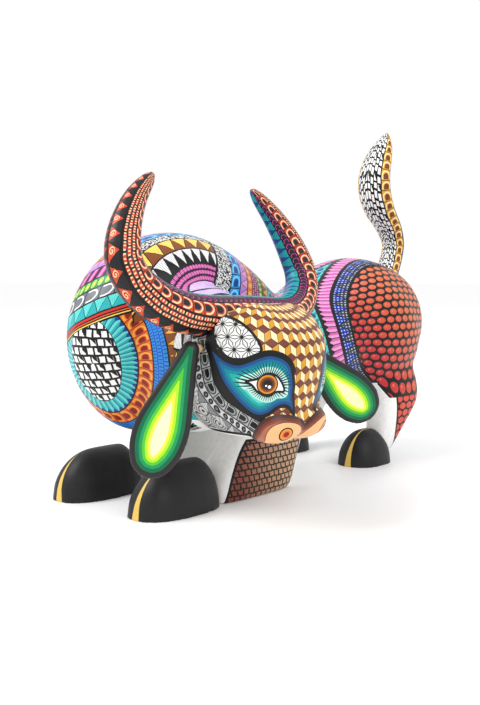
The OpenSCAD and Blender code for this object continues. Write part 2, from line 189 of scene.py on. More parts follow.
# ---------------------------------------------------------------------------------------------
# The paint on the trunk: acrylic in fine bands on a white ground, each band edged in black.
# A sun of rings lies on the chest, slanting bands run over the shoulders, arcs fan out between
# the horns, rings circle the waist, and scales cover the haunches. Satin varnish goes over all.
# ---------------------------------------------------------------------------------------------
class Shade:
    """A shader socket that takes part in formulas."""

    def __init__(self, tree, socket=None):
        self.tree = tree
        self.socket = socket

    def node(self, kind, settings=None, sockets=None, out=0):
        made = self.tree.nodes.new(kind)
        for name, value in (settings or {}).items():
            if name == "stops":
                ramp = made.color_ramp
                while len(ramp.elements) > 1:
                    ramp.elements.remove(ramp.elements[-1])
                for k, (place, colour) in enumerate(value):
                    stop = ramp.elements[0] if k == 0 else ramp.elements.new(place)
                    stop.position = place
                    stop.color = colour
            elif name == "interpolation":
                made.color_ramp.interpolation = value
            else:
                setattr(made, name, value)
        for name, value in (sockets or {}).items():
            if isinstance(value, Shade):
                self.tree.links.new(value.socket, made.inputs[name])
            else:
                made.inputs[name].default_value = value
        return Shade(self.tree, made.outputs[out] if made.outputs else None)

    def math(self, operation, *others):
        return self.node("ShaderNodeMath", {"operation": operation}, dict(enumerate((self,) + others)))

    def __add__(self, other):
        return self.math("ADD", other)

    def __sub__(self, other):
        return self.math("SUBTRACT", other)

    def __mul__(self, other):
        return self.math("MULTIPLY", other)

    def __truediv__(self, other):
        return self.math("DIVIDE", other)

    def __rsub__(self, other):
        return self.node("ShaderNodeMath", {"operation": "SUBTRACT"}, {0: other, 1: self})

    def __rtruediv__(self, other):
        return self.node("ShaderNodeMath", {"operation": "DIVIDE"}, {0: other, 1: self})

    __radd__ = __add__
    __rmul__ = __mul__

    def __abs__(self):
        return self.math("ABSOLUTE")

    def __lt__(self, other):
        return self.math("LESS_THAN", other)

    def __gt__(self, other):
        return self.math("GREATER_THAN", other)

    def __and__(self, other):
        return self.math("MULTIPLY", other)

    def __or__(self, other):
        return self.math("MAXIMUM", other)

    def low(self, other):
        return self.math("MINIMUM", other)

    def high(self, other):
        return self.math("MAXIMUM", other)

    def cell(self):
        return self.math("FRACT")

    def whole(self):
        return self.math("FLOOR")

    def between(self, low, high):
        return (self > low) & (self < high)

    def turn(self, other):
        """The direction of (other, self) as a share of a full turn, from 0 to 1."""
        return self.math("ARCTAN2", other) / (2 * math.pi) + 0.5

    def reach(self, other):
        """The length of (self, other)."""
        return (self * self + other * other).math("SQRT")

    def split(self):
        parts = self.node("ShaderNodeSeparateXYZ", {}, {0: self}).socket.node
        return [Shade(self.tree, part) for part in parts.outputs]

    def pick(self, off, on):
        """Colour on where the mask is 1, colour off where it is 0."""
        settings = {"data_type": "RGBA", "clamp_factor": True}
        return self.node("ShaderNodeMix", settings, {0: self, 6: off, 7: on}, 2)

    def choose(self, off, on):
        """The same for numbers."""
        settings = {"data_type": "FLOAT", "clamp_factor": True}
        return self.node("ShaderNodeMix", settings, {0: self, 2: off, 3: on}, 0)

    def noise(self, scale, detail, place):
        return self.node("ShaderNodeTexNoise", {}, {"Scale": scale, "Detail": detail, "Vector": place})


def ink(r, g, b):
    return (r, g, b, 1)


BLACK = ink(0.004, 0.004, 0.0045)
WHITE = ink(0.82, 0.82, 0.80)


class Board:
    """One material on the bench, with the coordinates that its painter works from."""

    def __init__(self, name):
        self.material = bpy.data.materials.new(name)
        self.material.use_nodes = True
        self.tree = self.material.node_tree
        self.tree.nodes.clear()
        self.start = Shade(self.tree)
        self.place = self.start.node("ShaderNodeTexCoord", out="Object")
        x, y, z = self.place.split()
        self.x = x / mm - bull_zero.x / mm
        self.y = y / mm - bull_zero.y / mm
        self.z = z / mm
        self.wobble = (self.start.noise(260, 2, self.place) - 0.5) * 0.5

    def marks(self, name):
        return self.start.node("ShaderNodeAttribute", {"attribute_name": name}, out="Vector").split()

    def varnish(self, colour, roughness, ridge, wear=0.05):
        """Brushed acrylic under satin varnish: the hue drifts a little and strokes stand up."""
        drift = self.start.noise(420, 3, self.place)
        strokes = self.start.noise(1500, 2, self.place)
        soft = drift * 0.22 + 0.89
        shade = self.start.node("ShaderNodeCombineColor", {}, {0: soft, 1: soft, 2: soft})
        tone = self.start.node("ShaderNodeMix", {"data_type": "RGBA", "blend_type": "MULTIPLY"},
                               {0: 1.0, 6: colour, 7: shade}, 2)
        rough = roughness + (drift - 0.5) * 0.16 + (strokes - 0.5) * wear
        height = ridge + strokes * 0.25 + drift * 0.2
        bump = self.start.node("ShaderNodeBump", {}, {"Strength": 0.25, "Distance": 0.0004, "Height": height})
        surface = self.start.node("ShaderNodeBsdfPrincipled", {}, {
            "Base Color": tone, "Roughness": rough, "Normal": bump, "Coat Weight": 0.05, "Coat Roughness": 0.28,
            "Specular IOR Level": 0.24})
        self.start.node("ShaderNodeOutputMaterial", {}, {"Surface": surface})
        return self.material


MOST_REPEATS, MOST_MOTIFS = 200, 16


def band_stack(board, across, rows, start):
    """Rows of painted bands, each (width, motif, ground, figure, accent, repeats), counted from
    start. Gives what is painted at the distance across."""
    total = sum(row[0] for row in rows)
    factor = (across - start) / total
    edges = np.cumsum([0] + [row[0] for row in rows])[:-1]
    stops = [[], [], [], [], []]
    for low, (width, motif, ground, figure, accent, repeats) in zip(edges, rows):
        place = float(low / total)
        sizes = (place, width / total, repeats / MOST_REPEATS, 1)
        kind = (motif / MOST_MOTIFS,) * 3 + (1,)
        for column, value in zip(stops, (ground, figure, accent, sizes, kind)):
            column.append((place, value))
    ramps = [board.start.node("ShaderNodeValToRGB", {"interpolation": "CONSTANT", "stops": column}, {0: factor})
             for column in stops]
    low, wide, repeats = ramps[3].split()
    return {"ground": ramps[0], "figure": ramps[1], "accent": ramps[2], "v": (factor - low) / wide,
            "width": wide * total, "repeats": repeats * MOST_REPEATS,
            "motif": ramps[4].split()[0] * MOST_MOTIFS}


def either(mask, off, on):
    """One stack where the mask is 0 and the other where it is 1."""
    mixed = {}
    for key in off:
        mix = mask.pick if key in ("ground", "figure", "accent") else mask.choose
        mixed[key] = mix(off[key], on[key])
    return mixed


TRIANGLES, CHAIN, CRYSTALS, BRICKS, BEADS, QUADS, SMEAR, PLAIN, FAN, SPECKS, CURLS = range(1, 12)


def plain(width, tone):
    """A band of one flat colour."""
    return (width, PLAIN, tone, tone, tone, 1)


def paint_bands(board, stack, along):
    """Paints the motifs of a stack: its colour, and how far each stroke stands up."""
    v = stack["v"] + board.wobble * 0.12
    travel = along * stack["repeats"] + board.wobble * 0.2
    u = travel.cell()
    d = abs(u - 0.5) * 2
    motif = stack["motif"]

    def is_motif(number):
        return motif.math("COMPARE", number, 0.3)

    def painted(shapes):
        """Each motif's own shape, wherever that motif is painted."""
        parts = [shape & is_motif(number) for number, shape in shapes.items()]
        together = parts[0]
        for part in parts[1:]:
            together = together | part
        return together

    triangle = (v - d * 0.95) > 0.06
    hatch = ((u * 7).cell() < 0.22) & (v > 0.34)
    specks = (((u * 4).cell() - 0.5).reach((v * 4).cell() - 0.5) < 0.25) & (abs(v - d * 0.95) > 0.12)
    curl_reach = ((u - 0.5) * 1.1).reach(v - 0.66)
    curl = ((curl_reach * 6 - (v - 0.66).turn(u - 0.5)).cell() < 0.4) & (curl_reach < 0.24)
    nose = ((u - 0.42) / 0.5).high(0).reach((v - 0.5) / 0.44)
    core = (nose < 0.52) & (u > 0.1)
    arc = nose.between(0.7, 0.94) & (u > 0.14)
    point = (d - ((1 - v) * 3.2).low(1) * 0.86) < 0
    facet = (u < 0.47) & (v < 0.86)
    course = (v * 3).whole()
    shifted = (travel * 2 + course * 0.5).cell()
    brick = (abs(shifted - 0.5) < 0.34) & (abs((v * 3).cell() - 0.5) < 0.36)
    tick = (abs((shifted * 3).cell() - 0.5) < 0.2) & (abs((v * 3).cell() - 0.5) < 0.24)
    bead = ((u - 0.5) * 2.2).reach((v - 0.5) * 2.2)
    quad_row = (v * 2).whole()
    quad = (travel + quad_row * 0.37 + (v * 2).cell() * 0.18).cell()
    tile = (abs(quad - 0.5) < 0.36) & (abs((v * 2).cell() - 0.5) < 0.37)
    split_tile = ((travel * 0.25 + quad_row * 0.4).cell() < 0.24) & (((v * 2).cell() + quad) > 1.0)
    smear = board.start.noise(700, 3, board.place)
    wedge = is_motif(TRIANGLES) | is_motif(SPECKS) | is_motif(CURLS)
    figure = painted({TRIANGLES: triangle, SPECKS: triangle, CURLS: triangle, CHAIN: core, CRYSTALS: point,
                      BRICKS: brick, BEADS: bead < 0.82, QUADS: tile & (1 - split_tile), SMEAR: smear > 0.5,
                      FAN: d < 0.62})
    accent = painted({TRIANGLES: triangle & hatch, SPECKS: specks, CURLS: curl & triangle, CHAIN: arc,
                      CRYSTALS: point & facet, BRICKS: tick, BEADS: bead < 0.3, SMEAR: smear > 0.6,
                      FAN: d < 0.2})
    link = (d > 0.93) & is_motif(CHAIN)
    edge = (v.low(1 - v) * stack["width"]) < 0.42
    slope = (abs(v - d * 0.95 - 0.03) < 0.05) & wedge
    colour = accent.pick(figure.pick(stack["ground"], stack["figure"]), stack["accent"])
    lines = edge | link | slope
    return lines.pick(colour, BLACK), (figure * 0.5 + accent * 0.4) & (1 - lines)


points = bull_points(trunk)
# the chest: a flat map around the middle of the sun
heart = (4, 37, 88)
chest_axis = np.array([0.066, -0.989, -0.13])
chest_right = np.array([0.998, 0.066, 0])
chest_up = np.array([-0.009, -0.131, 0.991])
arm = points - np.array(heart)
arm_length = np.linalg.norm(arm, axis=1)
polar = np.arccos(np.clip(arm @ chest_axis / arm_length, -1, 1)) * 58
side, rise = arm @ chest_right, arm @ chest_up
flat = np.maximum(np.hypot(side, rise), 1e-6)
side, rise = polar * side / flat, polar * rise / flat
distance = np.maximum(polar, 1e-6)
oval = 1 / np.hypot(side / distance / 13.7, rise / distance / 21.5)
mark(trunk, "chest", side, rise, polar - oval)
# the flank: the side of the body unrolled, and the distance from the edge of the haunch
haunch_at, haunch_size = (214, 6), (48, 44)
section = np.arctan2(points[:, 2] - heart[2], np.abs(points[:, 0])) * 46
haunch = (np.hypot((points[:, 1] - haunch_at[0]) / haunch_size[0],
                   (section - haunch_at[1]) / haunch_size[1]) - 1) * 46
mark(trunk, "flank", points[:, 1], section, haunch)

TEAL, MINT, NAVY = ink(0.02, 0.38, 0.40), ink(0.12, 0.62, 0.58), ink(0.012, 0.05, 0.22)
ORANGE, CRIMSON, GOLD = ink(0.72, 0.13, 0.02), ink(0.22, 0.01, 0.01), ink(0.74, 0.38, 0.05)
BLUE, SKY, YELLOW = ink(0.01, 0.08, 0.45), ink(0.03, 0.30, 0.72), ink(0.9, 0.62, 0.12)
LILAC, MAGENTA, PINK = ink(0.42, 0.22, 0.62), ink(0.55, 0.05, 0.32), ink(0.78, 0.30, 0.58)
GREEN, LIME, GREY = ink(0.02, 0.20, 0.07), ink(0.32, 0.62, 0.06), ink(0.16, 0.17, 0.19)
BROWN, PALE, RED = ink(0.20, 0.055, 0.012), ink(0.86, 0.70, 0.40), ink(0.55, 0.03, 0.02)
LAVENDER, AZURE, ICE = ink(0.60, 0.42, 0.80), ink(0.2, 0.6, 0.85), ink(0.2, 0.65, 0.9)

bench = Board("trunk_paint")
s, h, sun = bench.marks("chest")
flank_y, flank_a, haunch_edge = bench.marks("flank")
x, y, z = bench.x, bench.y, bench.z
slant = z - x * 0.45
ring = y - z.high(88) * 0.75
hip = y - z * 0.35
fan_side = x * 1.14 + y
fan_at = (52, 26, 112)
fan_reach = ((x - fan_at[0]).reach(y - fan_at[1])).reach(z - fan_at[2])
# where one family of bands ends and the next begins
slant_start, ring_start, hip_start, fan_start = 96.5, -56, 66, 17

sun_rows = band_stack(bench, sun, [
    (9, CRYSTALS, NAVY, MINT, TEAL, 46), (10, CHAIN, ORANGE, CRIMSON, GOLD, 34),
    (8.5, BRICKS, BLUE, SKY, NAVY, 60), (8, TRIANGLES, BROWN, GOLD, YELLOW, 44), plain(3, RED),
    plain(3, YELLOW), (8, CHAIN, TEAL, NAVY, MINT, 60), (8, CRYSTALS, BLACK, PINK, MAGENTA, 80),
    (9, TRIANGLES, GREY, WHITE, GREY, 60), (8, CHAIN, GOLD, CRIMSON, PALE, 60),
    (9, BRICKS, BLACK, MAGENTA, PINK, 60), (40, TRIANGLES, TEAL, SKY, NAVY, 60)], 0)
slant_rows = band_stack(bench, slant, [
    plain(1.6, YELLOW), plain(1.4, ORANGE), plain(2.2, RED), (8, TRIANGLES, TEAL, MINT, TEAL, 54),
    (7.5, CHAIN, GREY, GREY, WHITE, 44), (6, BEADS, GREEN, LIME, YELLOW, 90),
    (7, FAN, BLACK, MAGENTA, PINK, 60), (6, TRIANGLES, LILAC, PINK, LILAC, 50),
    (6, BRICKS, BLACK, ORANGE, YELLOW, 30), (6, CHAIN, SKY, BLUE, WHITE, 34),
    (30, TRIANGLES, TEAL, MINT, NAVY, 40)], slant_start)
arcs = [(18, FAN, LILAC, LAVENDER, WHITE, 70), (10.5, BRICKS, BLACK, MAGENTA, PINK, 34),
        (11, TRIANGLES, BLACK, WHITE, GREY, 30), (10, TRIANGLES, BROWN, YELLOW, GOLD, 26)]
fan_rows = band_stack(bench, fan_reach, arcs + [
    (6, SMEAR, BLACK, WHITE, GREY, 20), (6.5, CHAIN, SKY, NAVY, AZURE, 30),
    (6, TRIANGLES, LILAC, PINK, LILAC, 34), (6, BEADS, ORANGE, GOLD, YELLOW, 44),
    (30, BRICKS, BLACK, MAGENTA, PINK, 30)], 0)
ring_rows = band_stack(bench, ring, [
    (12.5, SMEAR, BLACK, WHITE, GREY, 10), (8.5, CHAIN, SKY, NAVY, ICE, 40),
    (7.5, TRIANGLES, LILAC, PINK, LILAC, 50), (6, BEADS, ORANGE, GOLD, YELLOW, 60),
    (7.5, BRICKS, BLACK, MAGENTA, PINK, 34), (5, BEADS, GREEN, LIME, YELLOW, 80),
    (8, TRIANGLES, BROWN, GOLD, YELLOW, 44), (8, CHAIN, TEAL, NAVY, MINT, 44),
    (7, FAN, BLACK, MAGENTA, PINK, 60), (8, TRIANGLES, GREY, WHITE, GREY, 40),
    (7, CHAIN, ORANGE, CRIMSON, GOLD, 40), (7, BRICKS, BLUE, SKY, NAVY, 40),
    (30, CRYSTALS, NAVY, MINT, TEAL, 60)], ring_start)
hip_rows = band_stack(bench, haunch_edge, [
    plain(1.4, BLACK),
    (9.6, SPECKS, ink(0.03, 0.03, 0.035), ink(0.002, 0.02, 0.33), ink(0.42, 0.5, 0.62), 34),
    plain(1.8, BLACK), (10, CRYSTALS, BLACK, PINK, ink(0.62, 0.12, 0.42), 88), plain(2, BLACK),
    (8.5, CHAIN, TEAL, NAVY, MINT, 70), (7, FAN, NAVY, SKY, MINT, 90), (8, TRIANGLES, BROWN, GOLD, YELLOW, 74),
    (8, CHAIN, LILAC, MAGENTA, PINK, 80), (8, BRICKS, BLACK, ORANGE, YELLOW, 60),
    (8, CRYSTALS, NAVY, MINT, TEAL, 90), (7, BEADS, GREEN, LIME, YELLOW, 110),
    (30, TRIANGLES, TEAL, MINT, SKY, 90)], 0)

over_stripe = slant > slant_start
in_fan = (fan_side > fan_start) & (slant > 90)
behind = ring > ring_start
before = 1 - behind
hind = hip > hip_start
stack = either(over_stripe, sun_rows, slant_rows)
along = over_stripe.choose(h.turn(s), x.turn(heart[1] - y))
stack = either(in_fan, stack, fan_rows)
along = in_fan.choose(along, (y - fan_at[1]).turn(fan_at[0] - x))
stack = either(behind, stack, ring_rows)
along = behind.choose(along, (z - heart[2]).turn(x))
stack = either(hind, stack, hip_rows)
along = hind.choose(along, (flank_a - haunch_at[1]).turn(flank_y - haunch_at[0]))
colour, ridge = paint_bands(bench, stack, along)
borders = (((abs(slant - slant_start) < 0.6) & before) | (abs(ring - ring_start) < 0.8)
           | ((abs(fan_side - fan_start) < 0.8) & over_stripe & before) | (abs(hip - hip_start) < 0.8))
colour = (borders & (haunch_edge > 0)).pick(colour, BLACK)
# the oval: black ground with irregular white tiles
tile_row = (h / 4.3 + bench.wobble * 0.5)
tile_turn = (s / 3.9 + tile_row.whole() * 0.43 + bench.wobble * 0.6 + h * 0.03)
tile = (abs(tile_row.cell() - 0.5) < 0.37) & (abs(tile_turn.cell() - 0.5) < 0.36)
half_tile = (((tile_turn * 0.5 + tile_row.whole() * 0.25).cell() < 0.42)
             & ((tile_row.cell() + tile_turn.cell()) > 1.06))
in_oval = (sun < 0) & (1 - over_stripe) & before
colour = in_oval.pick(colour, (tile & (1 - half_tile)).pick(BLACK, WHITE))
# the haunch: staggered scales, crimson below and in front, orange behind and above
scale_high, scale_wide = 4.9, 7.6
scale_row = flank_a / scale_high
scale_turn = flank_y / scale_wide + scale_row.whole() * 0.5
scale = (((scale_turn.cell() - 0.5) * scale_wide / 3.15)
         .reach((scale_row.cell() - 0.5) * scale_high / 1.95))
warm = ((flank_y - 180) / 60 + (flank_a + 10) / 70).high(0).low(1)
scale_colour = warm.pick(ink(0.50, 0.025, 0.03), ink(0.62, 0.13, 0.04))
rosy = ((flank_a - 20) / 30).high(0).low(1) & ((205 - flank_y) / 30).high(0).low(1)
scale_colour = rosy.pick(scale_colour, ink(0.66, 0.15, 0.15))
glint = (((scale_turn.cell() - 0.38) * 5).reach((scale_row.cell() - 0.6) * 4)) < 0.5
scale_colour = (glint * 0.2).pick(scale_colour, ink(0.9, 0.55, 0.4))
thigh = (z < 66) & (y > 206) & (abs(x) > 27)
in_haunch = (haunch_edge < 0) | thigh
colour = in_haunch.pick(colour, (scale < 1).pick(BLACK, scale_colour))
ridge = in_haunch.choose(ridge, (scale < 1) * 0.5)
# the belly stays white, edged in black
belly = (((48 - z).low(y - 14)).high((53 - z).low(y - 95))
         .low(haunch_edge.high(38 - abs(x))).low((206 - y).high(27 - abs(x))))
colour = (belly > 0).pick((belly > -1.1).pick(colour, BLACK), WHITE)
trunk.data.materials.append(bench.varnish(colour, 0.36, ridge))

# ---------------------------------------------------------------------------------------------
# The painted head: tumbling blocks over the brow and nose, a nest of blues around each eye, a
# leaf of star flowers above it, rows of grey drawing on the cheek, and a brown muzzle.
# ---------------------------------------------------------------------------------------------
def outline_distance(across, rise, corners, steps=5):
    """How far inside a smooth closed outline each point lies; negative outside."""
    corners = np.array(corners, float)
    before, after, beyond = np.roll(corners, 1, 0), np.roll(corners, -1, 0), np.roll(corners, -2, 0)
    line = [0.5 * (2 * corners + (after - before) * t + (2 * before - 5 * corners + 4 * after - beyond) * t ** 2
                   + (3 * corners - before - 3 * after + beyond) * t ** 3)
            for t in np.linspace(0, 1, steps, endpoint=False)]
    line = np.stack(line, 1).reshape(-1, 2)
    best = np.full(len(across), 1e9)
    inside = np.zeros(len(across), bool)
    for (ax, ay), (bx, by) in zip(line, np.roll(line, -1, 0)):
        ex, ey = bx - ax, by - ay
        share = np.clip(((across - ax) * ex + (rise - ay) * ey) / (ex * ex + ey * ey), 0, 1)
        best = np.minimum(best, np.hypot(across - ax - ex * share, rise - ay - ey * share))
        if ey:
            inside ^= ((ay > rise) != (by > rise)) & (across < ex * (rise - ay) / ey + ax)
    return np.where(inside, best, -best)


def follow(points, knots, samples=240):
    """The length along a smooth line through the knots, what is left across it, and its direction."""
    knots = np.array(knots, float)
    shares = np.linspace(0, len(knots) - 1, samples)
    line = np.stack([np.interp(shares, range(len(knots)), column) for column in knots.T], 1)
    for _ in range(40):
        line[1:-1] = (line[:-2] + 2 * line[1:-1] + line[2:]) / 4
    lengths = np.concatenate([[0], np.cumsum(np.linalg.norm(np.diff(line, axis=0), axis=1))])
    ways = np.gradient(line, axis=0)
    ways /= np.linalg.norm(ways, axis=1)[:, None]
    nearest = np.concatenate([np.argmin(np.linalg.norm(part[:, None] - line[None], axis=2), axis=1)
                              for part in np.array_split(points, max(1, len(points) // 4000))])
    offset = points - line[nearest]
    extra = (offset * ways[nearest]).sum(1)
    return lengths[nearest] + extra, offset - extra[:, None] * ways[nearest], ways[nearest]


points = bull_points(head)
level = points[:, 2]
out_x, out_y = points[:, 0] - 79.5, points[:, 1] - 21.5
face_radius, brow_level = 34, 80
girth = np.arctan2(out_y, out_x) * face_radius - 2
round_top = np.arctan2(np.maximum(level - brow_level, 0), np.hypot(out_x, out_y)) * face_radius
rise = np.where(level > brow_level, brow_level + round_top, level)
m = np.abs(girth)
panel = outline_distance(m, level, [
    (55.5, 93.5), (51, 89.5), (45, 86), (38.9, 84.6), (33.4, 86.4), (29, 88.2), (24.5, 89.1), (19.7, 88),
    (16.1, 85.9), (13.6, 82.9), (12.4, 79), (11.4, 74), (11.1, 69), (9.7, 64), (9.3, 60.1), (12.3, 63.3),
    (16.3, 64.6), (20.3, 63.8),
    (24.5, 61), (29, 59.9), (33.3, 61.3), (37.7, 65), (42.1, 70.1), (46.4, 76), (49.8, 82.2), (52.7, 88)])
almond = outline_distance(m, level, [
    (35, 76.5), (29.8, 77.8), (25.8, 80.1), (20.8, 78.5), (17, 72), (21.1, 71.7), (25.1, 69.8), (29.7, 71.8),
    (32.6, 75.3)])
star_leaf = outline_distance(m, level, [
    (50.5, 106), (46, 106), (38.6, 103.3), (32.6, 98.4), (29, 91.5), (33.4, 88.7), (37.9, 87.7), (43.7, 88.4),
    (49.4, 93.3), (52, 100)])
muzzle = outline_distance(m, level, [
    (32.9, 47.5), (30.7, 53.5), (27.8, 57.3), (22.9, 59.5), (16.8, 60), (6.8, 58), (0, 54), (-8, 50),
    (-8, 36), (33, 36)])
pad = outline_distance(m, level, [
    (25.4, 46), (25.6, 51), (22.8, 55), (16.6, 56.6), (9.4, 55.4), (4.2, 52.4), (1.2, 48), (1.2, 38),
    (25.4, 38)])
cheek_length, cheek_offset, cheek_way = follow(np.stack([m, level, m * 0], 1), [
    (60, 96, 0), (57, 83, 0), (54, 74, 0), (48, 65, 0), (37, 58, 0), (29, 54, 0)])
cheek_across = cheek_offset[:, 1] * cheek_way[:, 0] - cheek_offset[:, 0] * cheek_way[:, 1]
mark(head, "chart", girth, rise, level)
mark(head, "eye", panel, almond, star_leaf)
nostril = np.hypot((m - 15.5), (level - 50.7) * 1.15)
mark(head, "mouth", muzzle, pad, nostril)
mark(head, "cheek", cheek_across, cheek_length, m)

bench = Board("head_paint")
girth, rise, level = bench.marks("chart")
panel, almond, star_leaf = bench.marks("eye")
muzzle, pad, nostril = bench.marks("mouth")
cheek, cheek_way, m = bench.marks("cheek")
jitter = bench.wobble * 0.6
# tumbling blocks: upright faces in pairs, and a brown lozenge over each
block_w, block_h = 3.35, 4.25
across = girth / block_w + 100
column = across.whole()
odd = (column * 0.5).cell() > 0.25
share = across.cell()
lean = odd.choose(share, 1 - share)
drop_down = ((rise + jitter * 0.4 + lean * block_h / 2) / (3 * block_h)).cell() * 3
lower_face = drop_down < 1
upper_face = drop_down.between(lean + 1, lean + 2)
CREAM, OCHRE, RUSSET = ink(0.84, 0.68, 0.40), ink(0.58, 0.28, 0.02), ink(0.16, 0.034, 0.02)
cream_face = (lower_face & (1 - odd)) | (upper_face & odd)
ochre_face = (lower_face & odd) | (upper_face & (1 - odd))
colour = ochre_face.pick(cream_face.pick(RUSSET, CREAM), OCHRE)
joint = (abs(drop_down - 1).low(abs(drop_down - lean - 1)).low(abs(drop_down - lean - 2))
         .low(drop_down).low(3 - drop_down))
upright = share.low(1 - share) * block_w
line = (joint * block_h < 0.18) | ((upright < 0.13) & (lower_face | upper_face))
colour = line.pick(colour, ink(0.06, 0.025, 0.015))
ridge = cream_face * 0.25
# the cheek: rows that run down from behind the ear to the mouth, in black, grey and white
cheek_rows = band_stack(bench, cheek, [
    plain(3, BLACK), (6.2, CHAIN, ink(0.36, 0.37, 0.37), BLACK, ink(0.05, 0.05, 0.05), 14),
    (5, BEADS, ink(0.6, 0.6, 0.59), BLACK, GREY, 26),
    (6, TRIANGLES, ink(0.22, 0.23, 0.24), ink(0.6, 0.6, 0.59), ink(0.2, 0.2, 0.2), 16)], -6)
cheek_colour, cheek_ridge = paint_bands(bench, cheek_rows, cheek_way / 100)
shells = bench.start.node("ShaderNodeTexVoronoi", {"feature": "F1"},
                          {"Vector": bench.place, "Scale": 105, "Randomness": 0.9})
curls = (shells * 9).cell() < 0.42
cheek_colour = (cheek > 14.2).pick(cheek_colour, curls.pick(ink(0.55, 0.55, 0.54), BLACK))
cheek_front, cheek_back, cheek_top = 27, 50.5, 104
in_cheek = ((m > cheek_front) & (level < 87)) | ((m > cheek_back) & (level < cheek_top))
colour = in_cheek.pick(colour, cheek_colour)
ridge = in_cheek.choose(ridge, cheek_ridge)
cheek_edge = (((abs(m - cheek_front) < 1) & (level < 64))
              | ((abs(level - cheek_top) < 0.8) & (m > cheek_back))
              | ((abs(m - cheek_back) < 0.5) & level.between(87, cheek_top)))
colour = cheek_edge.pick(colour, BLACK)
# the leaf of star flowers
star_wide, star_high = 6.8, 5.9
star_row = (level / star_high).whole()
star_x = ((m / star_wide + star_row * 0.5).cell() - 0.5) * star_wide
star_y = ((level / star_high).cell() - 0.5) * star_high
star_turn = star_x.turn(star_y)
star_reach = star_x.reach(star_y)
spokes = (abs((star_turn * 12).cell() - 0.5) * star_reach) < 0.36
stars = spokes | (star_reach < 0.75)
colour = (star_leaf > -1.3).pick(colour, BLACK)
colour = (star_leaf > 0).pick(colour, stars.pick(ink(0.74, 0.74, 0.72), BLACK))
# the eye: nested blues, lashes, a white almond and a brown iris
PALE_MINT = ink(0.42, 0.72, 0.64)
panel_line = (level > brow_level).choose(-1.3, -2.3)
colour = (panel > panel_line).pick(colour, BLACK)
for depth, tone in ((0.6, ink(0.004, 0.06, 0.20)), (2.0, ink(0.0, 0.13, 0.26)), (3.4, ink(0.0, 0.22, 0.25)),
                    (4.8, ink(0.01, 0.35, 0.32)), (6.2, ink(0.10, 0.54, 0.46)), (7.6, PALE_MINT)):
    colour = (panel > depth).pick(colour, tone)
eye_m, eye_z = m - 25.5, level - 75.2
halo = (almond > -3.4) & (panel > 3.2)
colour = halo.pick(colour, PALE_MINT)
lash_turn = eye_z.turn(eye_m)
upper = eye_z > -1
lash_length = upper.choose(3.0, 5.6)
lash_half = 0.34 - abs(almond) / lash_length * 0.26
lash = (abs((lash_turn * 44).cell() - 0.5) < lash_half) & ((almond + lash_length) > 0)
colour = (lash & (almond < 0) & (panel > 1.5)).pick(colour, BLACK)
colour = (almond > -0.8).pick(colour, BLACK)
colour = (almond > 0.35).pick(colour, WHITE)
iris = eye_m.reach(eye_z)
in_eye = almond > -0.6
for radius, tone in ((5.1, BLACK), (4.5, ink(0.60, 0.22, 0.02)), (3.7, ink(0.24, 0.06, 0.01)),
                     (2.9, ink(0.07, 0.02, 0.005)), (2.0, BLACK)):
    colour = ((iris < radius) & in_eye).pick(colour, tone)
glint = ((eye_m + 0.9).reach(eye_z + 1.2) < 0.75) | ((eye_m - 0.7).reach(eye_z + 0.6) < 0.45)
colour = (glint & in_eye).pick(colour, ink(1, 1, 1))
# the muzzle: nested browns, a peach pad with a ringed nostril on each side
colour = (muzzle > -0.3).pick(colour, ink(0.02, 0.01, 0.008))
for depth, tone in ((0, ink(0.055, 0.022, 0.018)), (1.2, ink(0.14, 0.032, 0.022)),
                    (2.4, ink(0.23, 0.055, 0.032)),
                    (3.4, ink(0.38, 0.13, 0.07))):
    colour = (muzzle > depth).pick(colour, tone)
colour = (pad > -0.25).pick(colour, ink(0.05, 0.02, 0.01))
colour = (pad > 0.1).pick(colour, ink(0.80, 0.44, 0.20))
for radius, tone in ((4.0, BLACK), (3.3, ink(0.72, 0.28, 0.02)), (2.4, ink(0.75, 0.14, 0.02)),
                     (1.6, ink(0.25, 0.01, 0.01))):
    colour = (nostril < radius).pick(colour, tone)
# under the jaw it is white, edged in black
jaw = (muzzle < -0.5) & (m > 20)
colour = (jaw & (level < 50.2)).pick(colour, BLACK)
colour = (jaw & (level < 48.6)).pick(colour, WHITE)
# the end of the neck carries on the arcs of the chest
neck_reach = (bench.x - fan_at[0]).reach(bench.y - fan_at[1]).reach(bench.z - fan_at[2])
neck_rows = band_stack(bench, neck_reach, arcs + [(60, TRIANGLES, TEAL, MINT, NAVY, 40)], 0)
neck_turn = (bench.y - fan_at[1]).turn(fan_at[0] - bench.x)
neck_colour, _ = paint_bands(bench, neck_rows, neck_turn)
neck_end = 55.4
colour = (bench.x < neck_end + 1.1).pick(colour, BLACK)
colour = (bench.x < neck_end).pick(colour, (bench.z < 52).pick(neck_colour, WHITE))
head.data.materials.append(bench.varnish(colour, 0.34, ridge))

# ---------------------------------------------------------------------------------------------
# The horns: one crescent, sanded smooth. Rows run from tip to tip: red links in front, brick rows
# and curled triangles towards the outside, and teal triangles along the inside of the curve.
# ---------------------------------------------------------------------------------------------
def carved(name, node, body, grain, passes, reach=None):
    """A piece in one node, skinned and sanded."""
    block = block_copy([node], grain)
    sand(block, passes, reach)
    return finished(block, name, body, node)


horns = carved("painted_horns", "horns", "horns", 0.75, 6)
horn_side = [
    (0, 73, 106.5), (14, 73, 106), (28, 72, 105.5), (41.5, 69, 107), (54, 65, 112), (63, 61, 120),
    (66.5, 57, 130), (63.7, 53.5, 141), (58.5, 50.5, 151), (51, 47.5, 161), (41.5, 45, 170), (37, 44, 174)]
horn_line = ([(x, -side, z) for side, x, z in reversed(horn_side)]
             + [(x, side, z) for side, x, z in horn_side[1:]])
